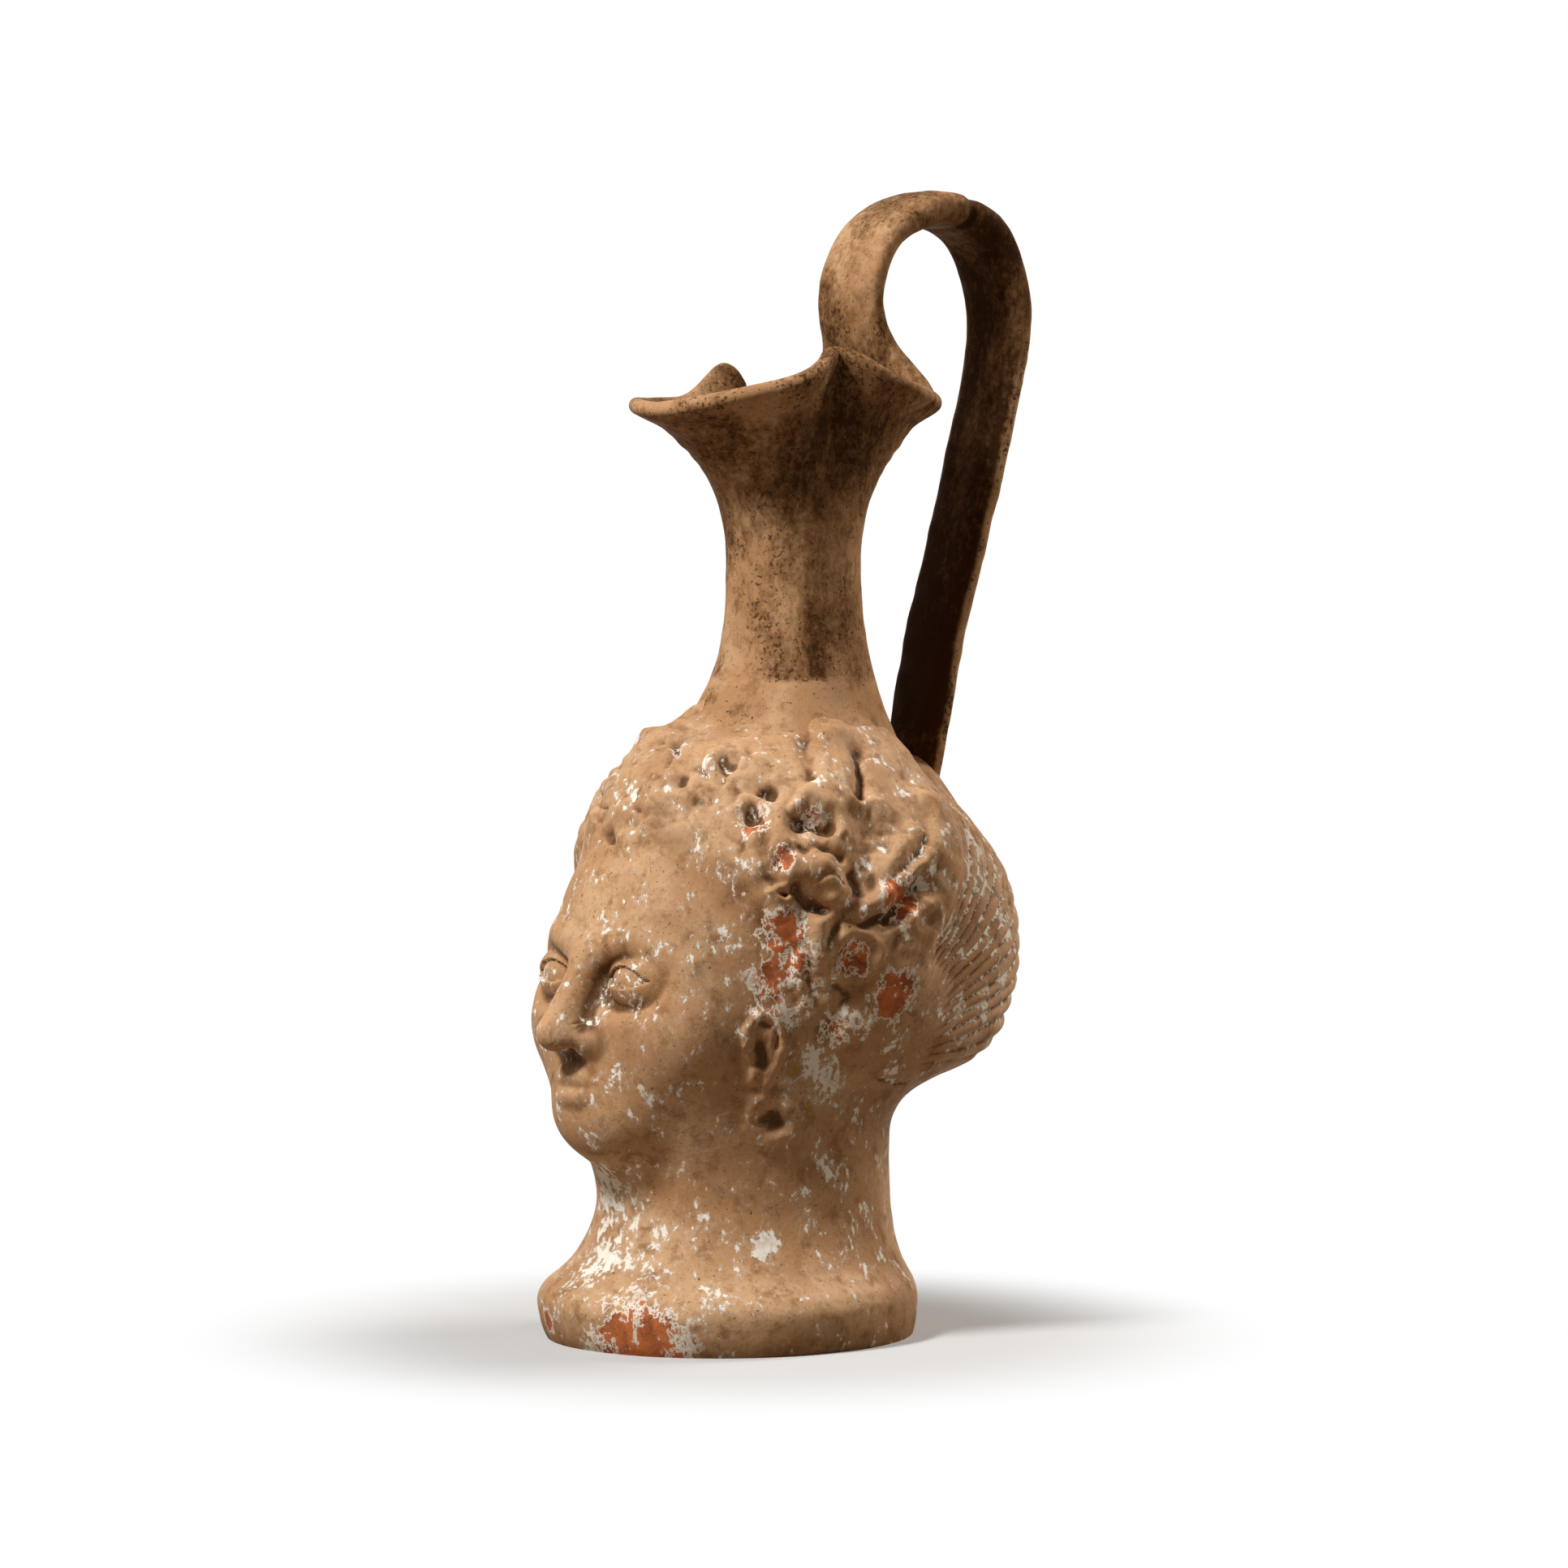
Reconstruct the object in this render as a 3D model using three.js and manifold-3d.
// Head oinochoe: a small wine jug whose body is a mould-made head, with a thrown spout neck, a pulled
// strap handle, a closed foot and ornaments that were modelled by hand and applied before firing.
// Units are millimetres. +Z is up, the face and the pouring lip look along -Y, and the origin is the
// middle of the underside, on the surface that the jug stands on.
import * as THREE from 'three';
import { mergeVertices } from 'three/addons/utils/BufferGeometryUtils.js';
import Module from 'manifold-3d';

const wasm = await Module();
wasm.setup();

// Joints and walls
const GAP = 0.3; // slip joint between two luted pieces
const HEAD_WALL = 6;
const RELIEF_DEPTH = 2.5; // added behind the modelled surfaces of the head
const SPOUT_WALL = 3;
const FLOOR_THICKNESS = 6;

// Foot, an oval plinth that flares out from the throat
const FOOT_WIDTH = 83;
const FOOT_DEPTH = 88;
const FOOT_HEIGHT = 27;
const FLOOR_MARGIN = 11; // from the floor disc's edge to the foot's widest line

// Throat, the modelled neck of the head
const THROAT_WIDTH = 62;
const THROAT_DEPTH = 69;
const THROAT_Y = 4.6;

// Head: the core is the point that its surface is measured from
const CORE_RISE = 57; // core above the joint with the foot
const CORE_Y = 10;
const CROWN_WIDTH = 84;
const CROWN_DEPTH = 92;
const CROWN_RISE = 54; // top of the hair above the core
const BUN_WIDTH = 84;
const BUN_BACK = 65; // back of the gathered hair behind the core
const BUN_DEPTH = 49;
const BUN_LIFT = 2; // widest level of the gathered hair above the core
const BUN_RISE = 42; // from that level up
const BUN_DROP = 33; // and down
const HAIR_HEM = 25; // lower edge of the hair below the core
const TEMPLE_SLOPE = 88.7; // from the origin to the plane that the hair over each temple falls back to
const TEMPLE_WAY = [0.528, -0.676, 0.514]; // where that plane faces, on the left side
const SEAM_Y = 16; // plane where the two moulds met

// Face, laid out by the classical canon of three equal thirds and five eye widths
const FACE_WIDTH = 66;
const FACE_DEPTH = 40;
const FACE_HEIGHT = 69; // chin to hairline
const FACE_Y = -2;
const FACE_TILT = THREE.MathUtils.degToRad(8); // the head looks slightly upwards
const NOSE_PROJECTION = 9;

// Spout neck and trefoil mouth
const SPOUT_Y = 19;
const SPOUT_RADIUS = 15.4; // at the waist
const SPOUT_SKIRT_RADIUS = 24; // where it spreads on the crown
const SEAT_SINK = 6; // levelled seat for the spout below the top of the hair
const SEAT_SLOPE = 0.2; // the seat falls towards the back as the crown does
const RIM_RISE = 125; // level of the pouring lip above the core
const FLARE_HEIGHT = 35;
const FLARE_CURVE = 2.3; // the higher, the later the neck opens into the mouth
const SKIRT_CURVE = 2.6;
const LOBE_RADIUS = 25;
const FRONT_LOBE_OFFSET = 15;
const BACK_LOBE_OFFSET = 10;
const PINCH_RISE = 12; // how far the pinched folds stand above the lip
const PINCH_DEPTH = 3.5;

// Strap handle, a loop above the mouth and a straight leg down to the hair
const STRAP_WIDTH = 21.5;
const STRAP_THICKNESS = 6.5;
const LOOP_RISE = 48; // top of the strap's middle above the pouring lip
const LOOP_RADIUS = 21.5;
const LOOP_Y = 58.8;
const HANDLE_ROOT_Y = 53;
const HANDLE_ROOT_RISE = 40; // where the leg meets the hair, above the core

// Ornaments
const LEAF_THICKNESS = 3.2;
const ROSETTE_THICKNESS = 3.4;
const BUD_THICKNESS = 5;
const FILLET_THICKNESS = 1.8;
const EAR_THICKNESS = 4.2;
const EARRING_THICKNESS = 5.2;
const PRESS_DEPTH = 2.5; // how far an ornament reaches into the surface before it is trimmed to it
const SEAM_COIL_RADIUS = 4;

// Hair strands at the back
const STRAND_COUNT = 14;
const STRAND_DEPTH = 0.9;
const STRAND_SPREAD = 76; // height that the strands cover at the back of the head
const STRAND_ROOT = 0.45; // share of that height where they start behind the ears

// Facets
const FACE_COLUMNS = 40;
const FACE_ROWS = 36;
const HAIR_COLUMNS = 32;
const HIDDEN_COLUMNS = 8; // on the side of a half that the seam cuts away
const HALF_SPAN = 1.8; // radians that a half's close columns reach to either side, past the seam
const HOLLOW_COLUMNS = 24;
const HOLLOW_ROWS = 10;
const TOP_LEVEL = 0.94; // last row of the head, inside the opening for the spout
const SPOUT_COLUMNS = 32;
const FOOT_COLUMNS = 30;
const SPOKES = 12;

// Levels that follow from the sizes above
const CORE_Z = FOOT_HEIGHT + CORE_RISE;
const RIM_Z = CORE_Z + RIM_RISE;
const FACE_THIRD = FACE_HEIGHT / 3;
const HAIRLINE = FACE_HEIGHT * 0.41; // above the middle of the face
const BROW = HAIRLINE - FACE_THIRD;
const NOSE_BASE = BROW - FACE_THIRD;
const CHIN = NOSE_BASE - FACE_THIRD;
const MOUTH = NOSE_BASE - FACE_THIRD / 3;
const EYE_WIDTH = FACE_WIDTH / 5;
const EYE_LINE = BROW - EYE_WIDTH * 0.46;

const { sin, cos, abs, min, max, sqrt, PI, atan2, sign, exp } = Math;
const { lerp, smoothstep, degToRad } = THREE.MathUtils;

// Blends of distances: rounded joins and rounded cuts

function join(a, b, round) {
  const overlap = max(round - abs(a - b), 0) / round;
  return min(a, b) - (overlap * overlap * round) / 4;
}

function cut(a, tool, round) {
  return -join(-a, tool, round);
}

function bump(distance, width) {
  return exp(-((distance / width) ** 2));
}

// Distance to an ellipsoid whose squareness is above 2 where it is boxier than an ellipse
function ovoid(x, y, z, rx, ry, rz, squareness = 2) {
  const spread = [x / rx, y / ry, z / rz].reduce((sum, part) => sum + abs(part) ** squareness, 0);
  return (spread ** (1 / squareness) - 1) * min(rx, ry, rz);
}

function capsule(point, start, end, startRadius, endRadius) {
  const axis = end.map((value, i) => value - start[i]);
  const offset = point.map((value, i) => value - start[i]);
  const along = axis.reduce((sum, value, i) => sum + value * offset[i], 0);
  const share = min(1, max(0, along / axis.reduce((sum, value) => sum + value * value, 0)));
  const away = offset.map((value, i) => value - axis[i] * share);
  return Math.hypot(...away) - lerp(startRadius, endRadius, share);
}

// The face, in its own tilted frame: across from the middle line, up from the middle, ahead of the middle

function facePosition(p) {
  const y = p.y - FACE_Y;
  const z = p.z - CORE_Z + CORE_RISE * 0.09;
  return {
    across: abs(p.x),
    up: y * sin(FACE_TILT) + z * cos(FACE_TILT),
    ahead: -y * cos(FACE_TILT) + z * sin(FACE_TILT),
  };
}

function noseDistance({ across, ahead, up }) {
  const point = [across, ahead, up];
  const bridge = [0, FACE_DEPTH - 3.2, BROW];
  const tip = [0, FACE_DEPTH + NOSE_PROJECTION - 4.6, NOSE_BASE + 3.6];
  const wing = [0.36 * EYE_WIDTH, FACE_DEPTH - 1.2, NOSE_BASE + 2.6];
  const ridge = capsule(point, bridge, tip, 2.8, 4.1);
  const nostril = capsule(point, tip, wing, 3, 2.9);
  return join(ridge, nostril, 2.4);
}

function browDistance({ across, ahead, up }) {
  const point = [across, ahead, up];
  const arch = [0.95 * EYE_WIDTH, FACE_DEPTH - 4.2, BROW + 2.6];
  const inner = capsule(point, [2, FACE_DEPTH - 2.6, BROW - 1], arch, 2.2, 2.2);
  const outer = capsule(point, arch, [1.75 * EYE_WIDTH, FACE_DEPTH - 12.5, BROW - 1.5], 2.2, 1.4);
  return min(inner, outer);
}

// An eyeball between lids that part in an almond
function eyeDistance({ across, ahead, up }) {
  const side = across - EYE_WIDTH;
  const rise = up - EYE_LINE;
  const depth = ahead - FACE_DEPTH + 9.4;
  const ball = ovoid(side, depth, rise, 0.62 * EYE_WIDTH, 0.56 * EYE_WIDTH, 0.5 * EYE_WIDTH);
  const almond = 1 - (side / (0.52 * EYE_WIDTH)) ** 2;
  const opening = abs(rise) - (rise > 0 ? 0.25 : 0.19) * EYE_WIDTH * almond;
  return min(ball, cut(ball - 1.1, opening, 0.7));
}

function lipDistance({ across, ahead, up }) {
  const point = [across, ahead, up];
  const corner = [0.68 * EYE_WIDTH, FACE_DEPTH - 5, MOUTH + 0.2];
  const bow = [0.24 * EYE_WIDTH, FACE_DEPTH - 2.4, MOUTH + 2.1];
  const upper = min(
    capsule(point, [0, FACE_DEPTH - 2.2, MOUTH + 1.7], bow, 1.9, 2),
    capsule(point, bow, corner, 2, 0.9),
  );
  const fullness = [0.26 * EYE_WIDTH, FACE_DEPTH - 2.8, MOUTH - 2.3];
  const lower = min(
    capsule(point, [0, FACE_DEPTH - 2.4, MOUTH - 2.5], fullness, 2.3, 2.2),
    capsule(point, fullness, corner, 2.2, 0.9),
  );
  return join(upper, lower, 0.8);
}

function faceDistance(p) {
  const spot = facePosition(p);
  const { across, up, ahead } = spot;
  let skin = ovoid(across, ahead, up, FACE_WIDTH / 2, FACE_DEPTH, FACE_HEIGHT * 0.68, 2.25);
  if (ahead < 0) return skin;
  skin = join(skin, ovoid(across - 17, ahead - 24, up + 10, 12, 11, 12), 8);
  skin = join(skin, ovoid(across, ahead - 27, up - MOUTH, 15, 10.5, 12), 6);
  skin = join(skin, ovoid(across, ahead - 26, up - CHIN - 8, 12, 10, 8.5), 6);
  const socket = ovoid(across - EYE_WIDTH * 1.04, ahead - FACE_DEPTH, up - EYE_LINE + 0.6, 10.5, 7.4, 6.6);
  skin = cut(skin, socket, 4.5);
  skin = join(skin, browDistance(spot), 5);
  skin = join(skin, eyeDistance(spot), 1);
  skin = join(skin, noseDistance(spot), 3);
  return join(skin, lipDistance(spot), 1.4);
}

function throatDistance(p) {
  const widening = 1.4 * exp((FOOT_HEIGHT - p.z) / 5);
  const halfWidth = THROAT_WIDTH / 2;
  const halfDepth = THROAT_DEPTH / 2;
  const ring = (Math.hypot(p.x / halfWidth, (p.y - THROAT_Y) / halfDepth) - 1) * halfWidth - widening;
  return max(ring, p.z - CORE_Z);
}

// Hair: a mass over the crown and a gathered bun behind, open round the face, combed in strands

function hairMass(p) {
  const z = p.z - CORE_Z;
  const crown = ovoid(p.x, p.y - CORE_Y + 2, z - 11, CROWN_WIDTH / 2, CROWN_DEPTH / 2, CROWN_RISE - 11, 2.5);
  const bunZ = (z - BUN_LIFT) * (z > BUN_LIFT ? 1 : BUN_RISE / BUN_DROP);
  const bunY = p.y - CORE_Y - BUN_BACK + BUN_DEPTH;
  const bun = ovoid(p.x, bunY, bunZ, BUN_WIDTH / 2, BUN_DEPTH, BUN_RISE, 2.3);
  const [wayX, wayY, wayZ] = TEMPLE_WAY;
  const beyond = wayX * abs(p.x) + wayY * p.y + wayZ * p.z - TEMPLE_SLOPE;
  return cut(join(crown, bun, 10), -beyond, 8);
}

// How far a place on the back of the head has turned from the side, 0, to the middle of the back, 1
function backTurn(azimuth) {
  return smoothstep(abs(atan2(sin(azimuth), cos(azimuth))), PI / 2, PI);
}

// Level of skinRay at a height along the surface, counted from the core: an arc above it, plain height below
function levelAtHeight(height) {
  return 0.5 + (height < 0 ? height / (2 * CORE_RISE) : height / (PI * BUN_BACK));
}

// Strands fan out from behind each ear: at the back they cover their full spread
function strandHeight(strand, azimuth) {
  const spread = STRAND_SPREAD * lerp(STRAND_ROOT, 1, backTurn(azimuth));
  return -HAIR_HEM - 3 + (strand / STRAND_COUNT) * spread;
}

function backStrands(p) {
  const azimuth = atan2(p.x, CORE_Y - p.y);
  const rise = p.z - CORE_Z;
  const height = rise < 0 ? rise : BUN_BACK * atan2(rise, Math.hypot(p.x, p.y - CORE_Y));
  const start = strandHeight(0, azimuth);
  const strand = (STRAND_COUNT * (height - start)) / (strandHeight(STRAND_COUNT, azimuth) - start);
  const ends = smoothstep(strand, 0, 1) * (1 - smoothstep(strand, STRAND_COUNT - 1, STRAND_COUNT));
  return -STRAND_DEPTH * ends * smoothstep(p.y, SEAM_Y, SEAM_Y + 8) * cos(2 * PI * strand);
}

// Front locks roll outwards along the hairline
function frontLocks(p) {
  const spot = facePosition(p);
  const turn = atan2(spot.across, spot.up + 8);
  const fade = 1 - smoothstep(p.y, CORE_Y - 14, CORE_Y + 4);
  return fade * 1.3 * cos(turn * 15 + spot.ahead * 0.12);
}

function hairDistance(p) {
  const spot = facePosition(p);
  const halfHeight = spot.up > 0 ? HAIRLINE + 1 : -CHIN + 6;
  const oval = ovoid(spot.across, 0, spot.up, FACE_WIDTH / 2 + 0.5, 1, halfHeight, 2.2) * 30;
  const opening = max(oval, -spot.ahead - 2);
  let hair = hairMass(p) - backStrands(p) - frontLocks(p);
  hair = cut(hair, opening, 8);
  return cut(hair, p.z - CORE_Z + HAIR_HEM + 4 * smoothstep(p.y, 0, 40), 5);
}

function headDistance(p) {
  const head = join(faceDistance(p), throatDistance(p), 8);
  return join(head, hairDistance(p), 2.5);
}

// The hollow follows the same masses, one wall further in, without their surface detail, and it leaves
// the crown thicker where the seat of the spout is cut into it
function hollowDistance(p) {
  const spot = facePosition(p);
  const face = ovoid(spot.across, spot.ahead, spot.up, FACE_WIDTH / 2, FACE_DEPTH, FACE_HEIGHT * 0.6, 2.25);
  const hair = cut(hairMass(p), p.z - CORE_Z + HAIR_HEM, 5);
  const head = join(join(face, throatDistance(p), 12), hair, 12);
  const relief = RELIEF_DEPTH * smoothstep(p.z, FOOT_HEIGHT, FOOT_HEIGHT + 20);
  const crown = SEAT_SINK * smoothstep(p.z, CORE_Z + CROWN_RISE * 0.4, CORE_Z + CROWN_RISE * 0.8);
  return head + HEAD_WALL + relief + crown;
}

// Surfaces found along rays: level 0 is the throat's joint, 0.5 the core's height and 1 the crown

function skinRay(azimuth, level) {
  const climb = min(1, level * 2);
  const elevation = max(0, level - 0.5) * PI;
  const origin = new THREE.Vector3(0, lerp(THROAT_Y, CORE_Y, climb), lerp(FOOT_HEIGHT, CORE_Z, climb));
  const direction = new THREE.Vector3(
    sin(azimuth) * cos(elevation),
    -cos(azimuth) * cos(elevation),
    sin(elevation),
  );
  return new THREE.Ray(origin, direction);
}

function surfacePoint(ray, distance, grow = 0) {
  const point = new THREE.Vector3();
  let reach = CROWN_DEPTH + BUN_BACK;
  for (let step = 0; step < 160; step += 1) {
    const away = distance(ray.at(reach, point)) - grow;
    if (abs(away) < 0.002) break;
    reach -= away * 0.6;
  }
  return point;
}

// Geometry helpers

// Closed skin over rings of points that run counterclockwise, seen from the side the rings advance to
function ringGeometry(rings, { wrap = false, tip = null } = {}) {
  const columns = rings[0].length;
  const points = rings.flat();
  const faces = [];
  const at = (row, column) => (row % rings.length) * columns + (column % columns);
  for (let row = 0; row < (wrap ? rings.length : rings.length - 1); row += 1) {
    for (let column = 0; column < columns; column += 1) {
      const [a, b] = [at(row, column), at(row, column + 1)];
      const [d, c] = [at(row + 1, column), at(row + 1, column + 1)];
      const rising = points[a].distanceTo(points[c]) < points[b].distanceTo(points[d]);
      faces.push(...(rising ? [a, b, c, a, c, d] : [a, b, d, b, c, d]));
    }
  }
  if (!wrap) {
    const middleOf = (ring) => ring.reduce((sum, p) => sum.add(p), new THREE.Vector3()).divideScalar(columns);
    [[0, 1, null], [rings.length - 1, 0, tip]].forEach(([row, flip, end]) => {
      const middle = points.length;
      points.push(end ?? middleOf(rings[row]));
      for (let column = 0; column < columns; column += 1) {
        faces.push(middle, at(row, column + flip), at(row, column + 1 - flip));
      }
    });
  }
  return new THREE.BufferGeometry().setFromPoints(points).setIndex(faces);
}

function solidOf(geometry) {
  const bare = geometry.clone();
  bare.deleteAttribute('normal');
  bare.deleteAttribute('uv');
  const merged = mergeVertices(bare, 1e-3);
  return new wasm.Manifold(new wasm.Mesh({
    numProp: 3,
    vertProperties: new Float32Array(merged.attributes.position.array),
    triVerts: new Uint32Array(merged.index.array),
  }));
}

function geometryOf(solid) {
  const { vertProperties, triVerts } = solid.getMesh();
  const geometry = new THREE.BufferGeometry();
  geometry.setAttribute('position', new THREE.BufferAttribute(new Float32Array(vertProperties), 3));
  geometry.setIndex(new THREE.BufferAttribute(new Uint32Array(triVerts), 1));
  geometry.computeVertexNormals();
  return geometry;
}

function boxSolid(low, high) {
  const size = new THREE.Vector3().subVectors(high, low);
  const geometry = new THREE.BoxGeometry(size.x, size.y, size.z);
  const middle = new THREE.Vector3().addVectors(low, high).multiplyScalar(0.5);
  return solidOf(geometry.translate(middle.x, middle.y, middle.z));
}

// Head shell: the two moulded halves, each with its rows and columns close together where its detail is

function spacedAngles(count, hidden, middle, ease) {
  const seen = Array.from({ length: count }, (_, i) => {
    const share = (2 * i) / count - 1;
    return middle + sign(share) * abs(share) ** ease * HALF_SPAN;
  });
  const turn = (2 * PI - 2 * HALF_SPAN) / hidden;
  return [...seen, ...Array.from({ length: hidden }, (_, i) => middle + HALF_SPAN + turn * i)];
}

function faceBlock(grow) {
  const angles = spacedAngles(FACE_COLUMNS, HIDDEN_COLUMNS, 0, 1.3);
  const levels = Array.from({ length: FACE_ROWS }, (_, i) => {
    const share = i / (FACE_ROWS - 1);
    return TOP_LEVEL * (share + 0.075 * sin(2 * PI * (share - 0.02)));
  });
  return headBlock(angles, levels.map((level) => () => level), headDistance, grow);
}

// The rows of the back half follow the strands, two to each strand
function hairBlock(grow) {
  const angles = spacedAngles(HAIR_COLUMNS, HIDDEN_COLUMNS, PI, 1);
  const strandLevel = (strand, angle) => levelAtHeight(strandHeight(strand, angle));
  const throat = [0, 0.35, 0.7, 0.9].map((share) => (angle) => share * strandLevel(0, angle));
  const strands = Array.from({ length: 2 * STRAND_COUNT + 1 }, (_, i) => (
    (angle) => strandLevel(i / 2, angle)
  ));
  const crown = [0.3, 0.6, 1].map((share) => (
    (angle) => lerp(strandLevel(STRAND_COUNT, angle), TOP_LEVEL, share)
  ));
  return headBlock(angles, [...throat, ...strands, ...crown], headDistance, grow);
}

function hollowBlock(grow) {
  const angles = Array.from({ length: HOLLOW_COLUMNS }, (_, i) => (2 * PI * i) / HOLLOW_COLUMNS);
  const levels = Array.from({ length: HOLLOW_ROWS }, (_, i) => () => (TOP_LEVEL * i) / (HOLLOW_ROWS - 1));
  return headBlock(angles, levels, hollowDistance, grow);
}

function headBlock(angles, levels, distance, grow) {
  const rings = levels.map((levelAt) => angles.map((angle) => (
    surfacePoint(skinRay(angle, levelAt(angle)), distance, grow)
  )));
  return solidOf(ringGeometry(rings));
}

// The crown is levelled for the spout and opened to its bore

function seatHeight(y) {
  return CORE_Z + CROWN_RISE - SEAT_SINK - SEAT_SLOPE * (y - SPOUT_Y);
}

function spoutRing(radius, heightAt) {
  return Array.from({ length: SPOUT_COLUMNS }, (_, i) => {
    const angle = (2 * PI * i) / SPOUT_COLUMNS;
    const y = SPOUT_Y - radius * cos(angle);
    return new THREE.Vector3(radius * sin(angle), y, heightAt(y));
  });
}

function crownOpening() {
  const bore = SPOUT_RADIUS - SPOUT_WALL;
  const rings = [
    spoutRing(bore, () => CORE_Z + CROWN_RISE * 0.2),
    spoutRing(bore, seatHeight),
    spoutRing(SPOUT_SKIRT_RADIUS + GAP, seatHeight),
    spoutRing(SPOUT_SKIRT_RADIUS + GAP, () => RIM_Z),
  ];
  return solidOf(ringGeometry(rings));
}

const REACH = 2 * (FOOT_DEPTH + CROWN_DEPTH + BUN_BACK);
const JOINT_Z = FOOT_HEIGHT + GAP;

const FRONT_SPACE = boxSolid(
  new THREE.Vector3(-REACH, -REACH, JOINT_Z),
  new THREE.Vector3(REACH, SEAM_Y - GAP / 2, REACH),
);
const BACK_SPACE = boxSolid(
  new THREE.Vector3(-REACH, SEAM_Y + GAP / 2, JOINT_Z),
  new THREE.Vector3(REACH, REACH, REACH),
);

// The head's outside, grown by the joint that other pieces keep to it
function headSeat() {
  const low = new THREE.Vector3(-REACH, -REACH, 0);
  const front = boxSolid(low, new THREE.Vector3(REACH, SEAM_Y, REACH));
  const back = boxSolid(low.setY(SEAM_Y), new THREE.Vector3(REACH, REACH, REACH));
  return faceBlock(GAP).intersect(front).add(hairBlock(GAP).intersect(back));
}

function headHalves() {
  const inside = hollowBlock(0).add(crownOpening());
  return {
    front: faceBlock(0).subtract(inside).intersect(FRONT_SPACE),
    back: hairBlock(0).subtract(inside).intersect(BACK_SPACE),
  };
}

// A coil of clay pressed over the seam inside the hollow, one on each side
function seamCoil() {
  const levels = Array.from({ length: 12 }, (_, i) => 0.06 + (0.62 * i) / 11);
  const path = levels.map((level) => {
    const origin = skinRay(0, level).origin;
    const elevation = max(0, level - 0.5) * PI;
    const ray = new THREE.Ray(
      new THREE.Vector3(0, SEAM_Y, origin.z),
      new THREE.Vector3(cos(elevation), 0, sin(elevation)),
    );
    return surfacePoint(ray, hollowDistance);
  });
  const curve = new THREE.CatmullRomCurve3(path);
  const section = new THREE.Shape().absarc(0, 0, SEAM_COIL_RADIUS, 0, 2 * PI);
  const tube = new THREE.ExtrudeGeometry(section, {
    steps: 11,
    curveSegments: 4,
    bevelEnabled: false,
    extrudePath: curve,
  });
  return solidOf(tube).intersect(hollowBlock(-GAP));
}

// Foot: oval rings that open from the throat to the plinth

function ovalRing(z, flare, inset) {
  const halfWidth = lerp(THROAT_WIDTH, FOOT_WIDTH, flare) / 2 - inset;
  const halfDepth = lerp(THROAT_DEPTH, FOOT_DEPTH, flare) / 2 - inset;
  const middle = lerp(THROAT_Y, 0, flare);
  return Array.from({ length: FOOT_COLUMNS }, (_, i) => {
    const angle = (2 * PI * i) / FOOT_COLUMNS;
    return new THREE.Vector3(halfWidth * sin(angle), middle - halfDepth * cos(angle), z);
  });
}

function footGeometry() {
  const profile = new THREE.SplineCurve([
    new THREE.Vector2(0.93, 0),
    new THREE.Vector2(0.98, 0.08),
    new THREE.Vector2(1, 0.33),
    new THREE.Vector2(0.88, 0.45),
    new THREE.Vector2(0.6, 0.58),
    new THREE.Vector2(0.36, 0.7),
    new THREE.Vector2(0.2, 0.83),
    new THREE.Vector2(0.12, 1),
  ]);
  const outside = profile.getPoints(10).map((p) => ovalRing(p.y * FOOT_HEIGHT, p.x, 0));
  const inside = [
    ovalRing(FOOT_HEIGHT, 0, HEAD_WALL),
    ovalRing(FLOOR_THICKNESS + FOOT_HEIGHT * 0.2, 0.5, HEAD_WALL + 1),
    ovalRing(FLOOR_THICKNESS, 1, FLOOR_MARGIN),
    ovalRing(0, 1, FLOOR_MARGIN),
  ];
  return ringGeometry([...outside, ...inside], { wrap: true });
}

function floorGeometry() {
  return ringGeometry([
    ovalRing(0, 1, FLOOR_MARGIN + GAP),
    ovalRing(FLOOR_THICKNESS - 1, 1, FLOOR_MARGIN + GAP),
    ovalRing(FLOOR_THICKNESS, 1, FLOOR_MARGIN + GAP + 1.5),
  ]);
}

// Spout neck: round at the waist, opening into a mouth of two lobes with a fold pinched on each side

function lobeReach(angle, offset) {
  return offset * cos(angle) + sqrt(LOBE_RADIUS ** 2 - (offset * sin(angle)) ** 2);
}

const PINCH_ANGLE = PI / 2 - 0.5 * ((FRONT_LOBE_OFFSET - BACK_LOBE_OFFSET) / LOBE_RADIUS);

function fromPinch(angle) {
  const turned = abs(atan2(sin(angle), cos(angle)));
  return turned - PINCH_ANGLE;
}

function mouthReach(angle) {
  const lobes = max(lobeReach(angle, FRONT_LOBE_OFFSET), lobeReach(angle, -BACK_LOBE_OFFSET));
  return lobes - PINCH_DEPTH * bump(fromPinch(angle), 0.22);
}

function rimHeight(angle) {
  const slope = 0.55 * bump(fromPinch(angle), 0.8);
  const fold = 0.45 * bump(fromPinch(angle), 0.27);
  return RIM_Z + PINCH_RISE * (slope + fold);
}

// Outside of the spout at a height between its seat, 0, and the rim, 1
function spoutPoint(angle, height) {
  const waistZ = RIM_Z - FLARE_HEIGHT;
  const mouth = max(0, height * 2 - 1);
  const foot = max(0, 1 - height * 2);
  const radius = SPOUT_RADIUS
    + (mouthReach(angle) - SPOUT_RADIUS) * mouth ** FLARE_CURVE
    + (SPOUT_SKIRT_RADIUS - SPOUT_RADIUS) * foot ** SKIRT_CURVE;
  const y = SPOUT_Y - radius * cos(angle);
  const z = height < 0.5 ? lerp(waistZ, seatHeight(y) + GAP, foot) : lerp(waistZ, rimHeight(angle), mouth);
  return new THREE.Vector3(radius * sin(angle), y, z);
}

function spoutNormal(angle, height) {
  const step = 0.004;
  const round = spoutPoint(angle + step, height).sub(spoutPoint(angle - step, height));
  const climb = spoutPoint(angle, min(1, height + step)).sub(spoutPoint(angle, max(0, height - step)));
  return round.cross(climb).normalize();
}

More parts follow.
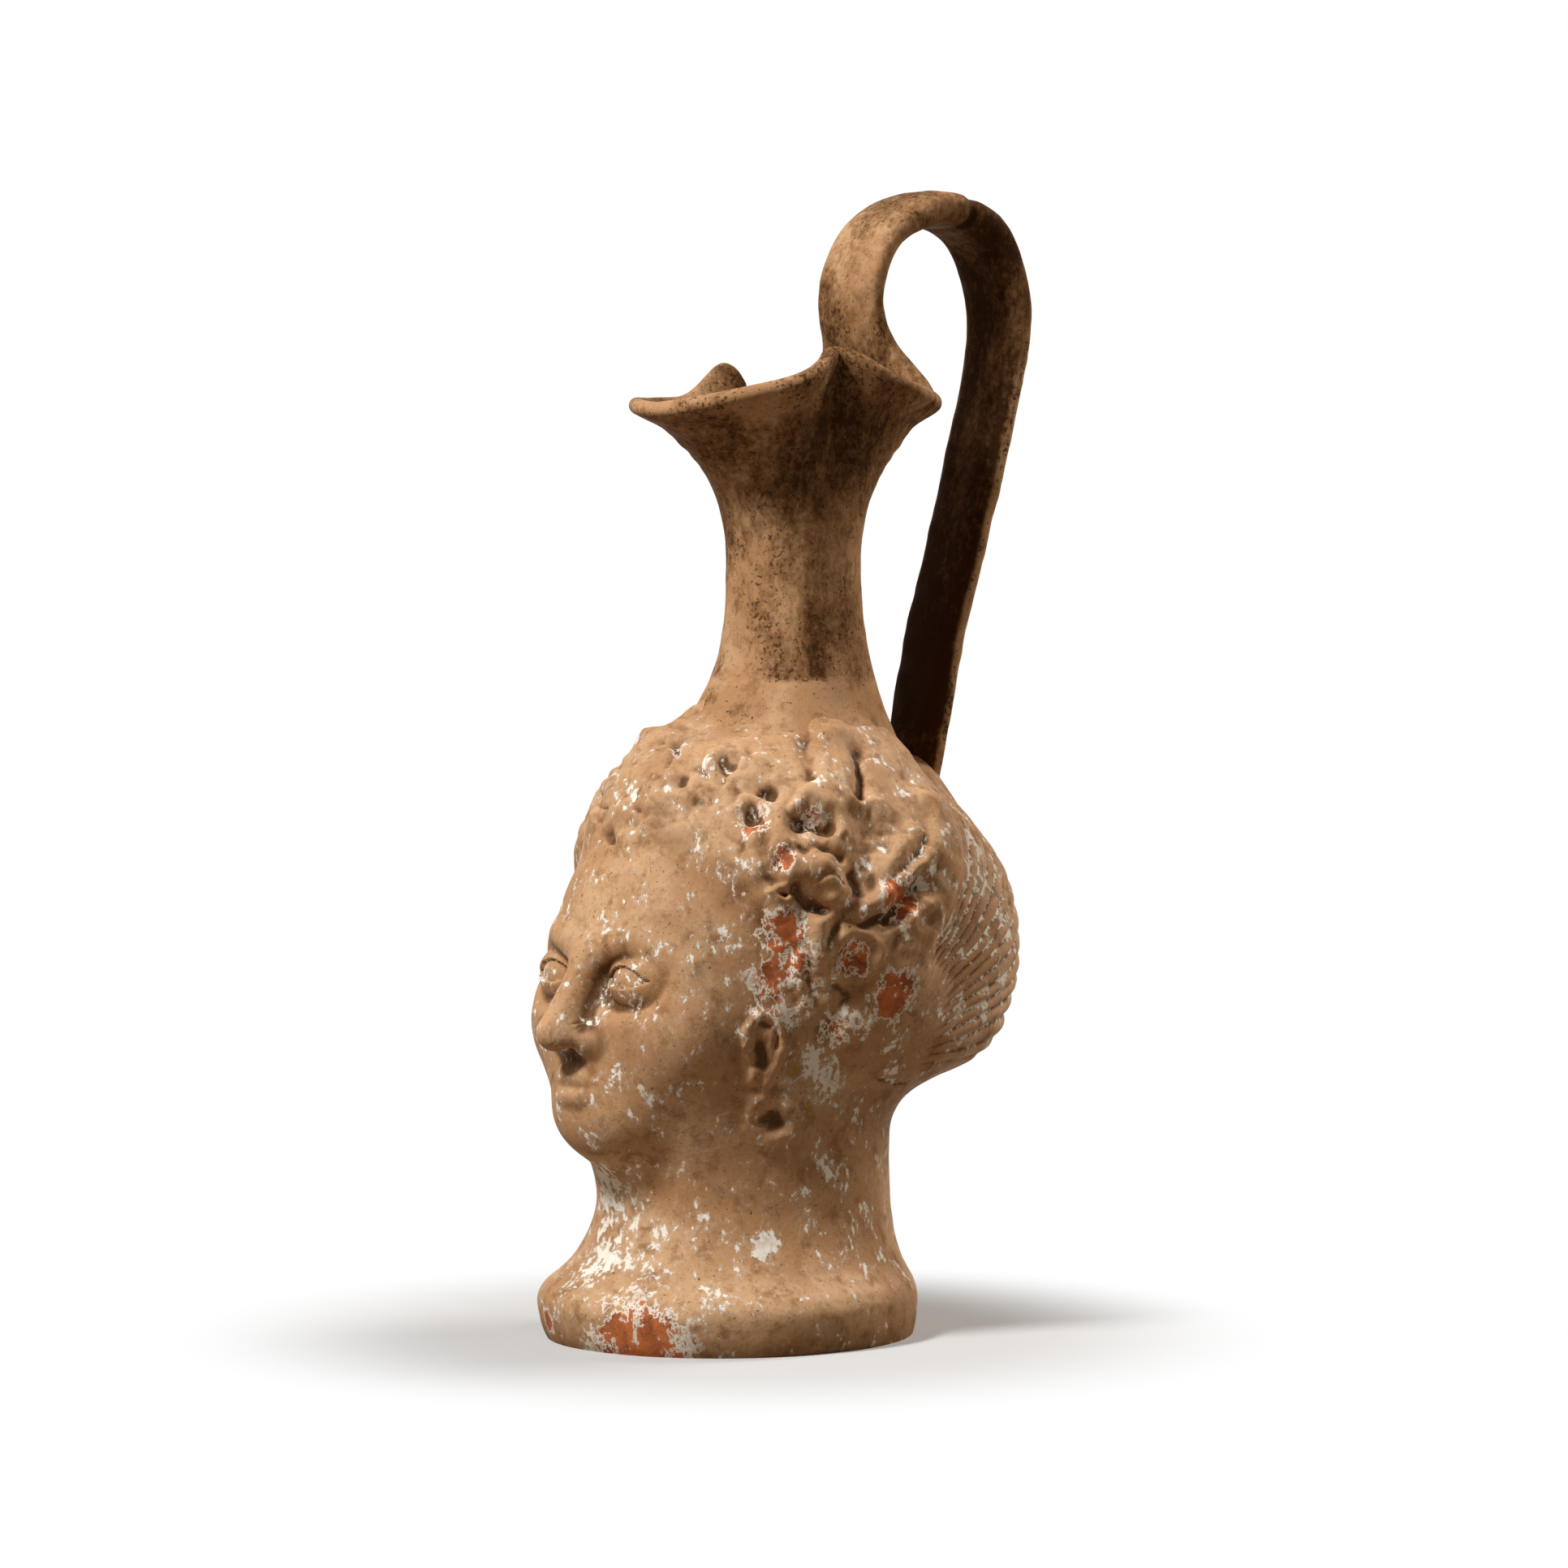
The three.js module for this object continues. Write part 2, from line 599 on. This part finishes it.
function spoutColumns() {
  return Array.from({ length: SPOUT_COLUMNS }, (_, i) => {
    const angle = (2 * PI * i) / SPOUT_COLUMNS;
    return angle + 0.11 * sin(2 * angle) - 0.05 * sin(angle);
  });
}

function spoutSolid(grow) {
  const angles = spoutColumns();
  const heights = [0, 0.06, 0.14, 0.24, 0.36, 0.5, 0.62, 0.72, 0.8, 0.87, 0.94, 1];
  const skin = (height, depth) => angles.map((angle) => (
    spoutPoint(angle, height).addScaledVector(spoutNormal(angle, height), -depth)
  ));
  const outside = heights.map((height) => skin(height, -grow));
  const lip = angles.map((angle) => {
    const climb = spoutPoint(angle, 1).sub(spoutPoint(angle, 0.98)).normalize();
    const middle = spoutPoint(angle, 1).addScaledVector(spoutNormal(angle, 1), -SPOUT_WALL / 2);
    return middle.addScaledVector(climb, SPOUT_WALL * 0.4 + grow);
  });
  const inside = [1, 0.9, 0.8, 0.66, 0.5, 0.24].map((height) => skin(height, SPOUT_WALL + grow));
  const bore = SPOUT_RADIUS - SPOUT_WALL - grow;
  const bottom = angles.map((angle) => {
    const y = SPOUT_Y - bore * cos(angle);
    return new THREE.Vector3(bore * sin(angle), y, seatHeight(y) + GAP);
  });
  return solidOf(ringGeometry([...outside, lip, ...inside, bottom], { wrap: true }));
}

// Strap handle: a swept strap along its middle line, spread where it is pressed on to the mouth

function handlePath() {
  const top = RIM_Z + LOOP_RISE;
  const middle = top - LOOP_RADIUS;
  const rimBack = SPOUT_Y + BACK_LOBE_OFFSET + LOBE_RADIUS;
  const loop = [0, 0.25, 0.5, 0.75, 1].map((share) => {
    const angle = PI * (1 - share);
    return new THREE.Vector3(0, LOOP_Y + LOOP_RADIUS * cos(angle), middle + LOOP_RADIUS * sin(angle));
  });
  const rootZ = CORE_Z + HANDLE_ROOT_RISE;
  const shoulder = new THREE.Vector3(0, LOOP_Y + LOOP_RADIUS - 1.2, middle - 13);
  const root = new THREE.Vector3(0, HANDLE_ROOT_Y, rootZ);
  return new THREE.CatmullRomCurve3([
    new THREE.Vector3(0, rimBack - 11.5, RIM_Z - 3),
    new THREE.Vector3(0, rimBack - 13, RIM_Z + 8),
    ...loop,
    shoulder,
    new THREE.Vector3().lerpVectors(shoulder, root, 0.33),
    new THREE.Vector3().lerpVectors(shoulder, root, 0.67),
    root,
    new THREE.Vector3(0, HANDLE_ROOT_Y - 3.5, rootZ - 10),
  ]);
}

function handleSolid() {
  const path = handlePath();
  const across = new THREE.Vector3(1, 0, 0);
  const steps = 28;
  const sides = 10;
  const rings = Array.from({ length: steps + 1 }, (_, i) => {
    const share = (i / steps) ** 1.35;
    const middle = path.getPointAt(share);
    const out = new THREE.Vector3().crossVectors(path.getTangentAt(share), across).normalize();
    const halfWidth = (STRAP_WIDTH / 2) * (1 + 0.1 * bump(share, 0.07) - 0.12 * share);
    const halfThickness = (STRAP_THICKNESS / 2) * (1 + 0.5 * bump(share, 0.05) - 0.1 * share);
    return Array.from({ length: sides }, (_unused, j) => {
      const angle = (2 * PI * (j + 0.5)) / sides;
      const wide = sign(cos(angle)) * abs(cos(angle)) ** 0.6 * halfWidth;
      const thick = sign(sin(angle)) * abs(sin(angle)) ** 0.7 * halfThickness;
      return middle.clone().addScaledVector(across, wide).addScaledVector(out, thick);
    });
  });
  return solidOf(ringGeometry(rings));
}

// Ornaments: each is modelled on the head at an azimuth from the face, in degrees, and a level of skinRay

function ornamentFrame({ azimuth, level, spin }) {
  const ray = skinRay(degToRad(azimuth), level);
  const point = surfacePoint(ray, headDistance);
  const out = ray.direction;
  const side = new THREE.Vector3(0, 0, 1).cross(out).normalize();
  const rise = new THREE.Vector3().crossVectors(out, side);
  const turn = degToRad(spin);
  const u = side.clone().multiplyScalar(cos(turn)).addScaledVector(rise, sin(turn));
  const v = new THREE.Vector3().crossVectors(out, u);
  return { origin: ray.origin, point, u, v };
}

// A relief whose edge is drawn by outline(angle) and whose height follows height(share of the way out)
function reliefSolid(ornament, grow) {
  const { origin, point, u, v } = ornamentFrame(ornament);
  const { outline, height } = ornament.kind;
  const place = (share, angle, lift) => {
    const reach = (outline(angle) * ornament.length / 2 + grow) * share;
    const spot = point.clone().addScaledVector(u, reach * cos(angle)).addScaledVector(v, reach * sin(angle));
    const direction = spot.sub(origin).normalize();
    const base = surfacePoint(new THREE.Ray(origin, direction), headDistance);
    return base.addScaledVector(direction, lift + grow);
  };
  const angles = Array.from({ length: SPOKES }, (_, i) => (2 * PI * i) / SPOKES);
  const buried = angles.map((angle) => place(1, angle, -PRESS_DEPTH));
  const raised = [1, 0.62].map((share) => angles.map((angle) => place(share, angle, height(share))));
  return solidOf(ringGeometry([buried, ...raised], { tip: place(0, 0, height(0)) }));
}

function roundedBar(angle, slimness) {
  return 1 / (abs(cos(angle)) ** 4 + (abs(sin(angle)) * slimness) ** 4) ** 0.25;
}

// Ivy leaf: a pointed tip along +u, two side lobes, a raised edge and a sunken middle
const LEAF = {
  outline: (angle) => 0.75 + 0.22 * cos(angle) + 0.14 * cos(3 * angle),
  height: (share) => LEAF_THICKNESS * (share > 0.9 ? 0.6 : 0.25 + 0.95 * share),
};
const ROSETTE = {
  outline: (angle) => 0.9 + 0.1 * cos(4 * angle),
  height: (share) => ROSETTE_THICKNESS * (share > 0.9 ? 0.55 : 0.2 + 1.1 * share),
};
const BUD = {
  outline: (angle) => roundedBar(angle, 1.35) * 0.95,
  height: (share) => BUD_THICKNESS * sqrt(1.15 - share * share),
};
const FILLET = {
  outline: (angle) => roundedBar(angle, 1.5),
  height: (share) => FILLET_THICKNESS * (share > 0.9 ? 0.8 : 0.6 + 0.5 * share),
};
const EAR = {
  outline: (angle) => roundedBar(angle, 1.45) * (0.95 + 0.07 * cos(angle)),
  height: (share) => EAR_THICKNESS * (share > 0.9 ? 0.6 : 0.2 + 1.1 * share),
};
const EARRING = {
  outline: (angle) => 0.92 + 0.08 * cos(2 * angle),
  height: (share) => EARRING_THICKNESS * (share > 0.9 ? 0.6 : 0.1 + 1.25 * share),
};

const ORNAMENTS = [
  { name: 'bud', kind: BUD, azimuth: 71, level: 0.628, spin: -15, length: 14 },
  { name: 'fillet_end', kind: FILLET, azimuth: 80, level: 0.8, spin: 90, length: 18 },
  { name: 'rosette_back', kind: ROSETTE, azimuth: 67, level: 0.706, spin: 0, length: 14 },
  { name: 'rosette_front', kind: ROSETTE, azimuth: 48, level: 0.706, spin: 20, length: 13 },
  { name: 'leaf_large', kind: LEAF, azimuth: 92, level: 0.67, spin: 60, length: 25 },
  { name: 'leaf_middle', kind: LEAF, azimuth: 97, level: 0.585, spin: 15, length: 21 },
  { name: 'leaf_lower', kind: LEAF, azimuth: 87, level: 0.43, spin: 160, length: 17 },
  { name: 'rosette_small', kind: ROSETTE, azimuth: 57, level: 0.606, spin: 40, length: 11 },
  { name: 'rosette_lower', kind: ROSETTE, azimuth: 82, level: 0.51, spin: 10, length: 13 },
  { name: 'curl_temple', kind: BUD, azimuth: 68, level: 0.515, spin: 80, length: 17 },
  { name: 'curl_front', kind: ROSETTE, azimuth: 36, level: 0.767, spin: 30, length: 15 },
  { name: 'curl_brow', kind: ROSETTE, azimuth: 17, level: 0.735, spin: 0, length: 13 },
  { name: 'ear', kind: EAR, azimuth: 53, level: 0.342, spin: 80, length: 17 },
  { name: 'earring', kind: EARRING, azimuth: 59, level: 0.2, spin: 10, length: 17 },
];

// Fired clay, from the pale slip of the head to the sooty brown of the spout
const paleClay = new THREE.MeshStandardMaterial({ color: 0xb58a60, roughness: 0.78, metalness: 0 });
const sootyClay = new THREE.MeshStandardMaterial({ color: 0x7a5637, roughness: 0.7, metalness: 0 });
const rawClay = new THREE.MeshStandardMaterial({ color: 0xa96f4a, roughness: 0.9, metalness: 0 });

const oinochoe = new THREE.Group();

function addPiece(name, geometry, material, mirrored = false) {
  const piece = new THREE.Mesh(geometry, material);
  piece.name = name;
  piece.scale.x = mirrored ? -1 : 1;
  oinochoe.add(piece);
}

const halves = headHalves();
const spoutSeat = spoutSolid(GAP);
let applied = headSeat();
addPiece('foot', footGeometry(), paleClay);
addPiece('floor_disc', floorGeometry(), rawClay);
addPiece('face_half', geometryOf(halves.front), paleClay);
addPiece('hair_half', geometryOf(halves.back), paleClay);
addPiece('spout_neck', geometryOf(spoutSolid(0)), sootyClay);
addPiece('strap_handle', geometryOf(handleSolid().subtract(spoutSeat).subtract(applied)), sootyClay);

const coil = geometryOf(seamCoil());
addPiece('seam_coil_left', coil, rawClay);
addPiece('seam_coil_right', coil, rawClay, true);

// Each ornament is pressed on to the head and up against the ones that were applied before it
applied = applied.add(spoutSeat);
ORNAMENTS.forEach((ornament) => {
  const shape = geometryOf(reliefSolid(ornament, 0).subtract(applied));
  applied = applied.add(reliefSolid(ornament, GAP));
  addPiece(`${ornament.name}_left`, shape, paleClay);
  addPiece(`${ornament.name}_right`, shape, paleClay, true);
});

export default oinochoe;
